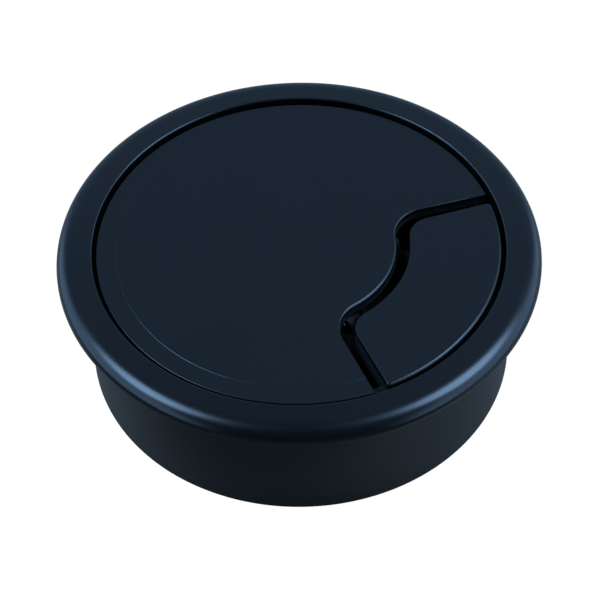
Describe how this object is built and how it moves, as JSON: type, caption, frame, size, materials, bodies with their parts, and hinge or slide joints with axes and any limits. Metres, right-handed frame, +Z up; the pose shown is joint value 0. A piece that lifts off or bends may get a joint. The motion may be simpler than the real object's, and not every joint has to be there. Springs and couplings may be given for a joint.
{
  "type": "desk grommet",
  "caption": "Round black cable grommet for a desk hole: flanged liner, turning snap-in cover and a sprung flap that swings down to let cables through.",
  "frame": {"origin": "on the centre line, at the bottom rim of the sleeve", "axes": "+Z up along the centre line, +X towards the middle of the cable flap"},
  "size_m": [0.0672, 0.0672, 0.021],
  "materials": {
    "liner_plastic": "satin moulded black, polished on the rim",
    "cover_plastic": "satin moulded black",
    "flap_plastic": "satin moulded black",
    "pin_steel": "drawn steel",
    "spring_steel": "drawn spring wire"
  },
  "bodies": {
    "liner": {"liner": "liner_plastic"},
    "cover": {"cover": "cover_plastic", "hinge_pin": "pin_steel", "torsion_spring": "spring_steel"},
    "flap": {"flap": "flap_plastic"}
  },
  "joints": [
    {"name": "cover_turn", "type": "hinge", "parent": "liner", "child": "cover", "pos_m": [0, 0, 0.0154], "axis": [0, 0, 1], "continuous": true},
    {"name": "flap_tilt", "type": "hinge", "parent": "cover", "child": "flap", "pos_m": [0.0105, 0, 0.0172], "axis": [0, 1, 0], "range_deg": [0, 70], "stiffness_Nm_per_rad": 0.011, "springref_deg": -22.92, "deforming": ["torsion_spring"]}
  ]
}
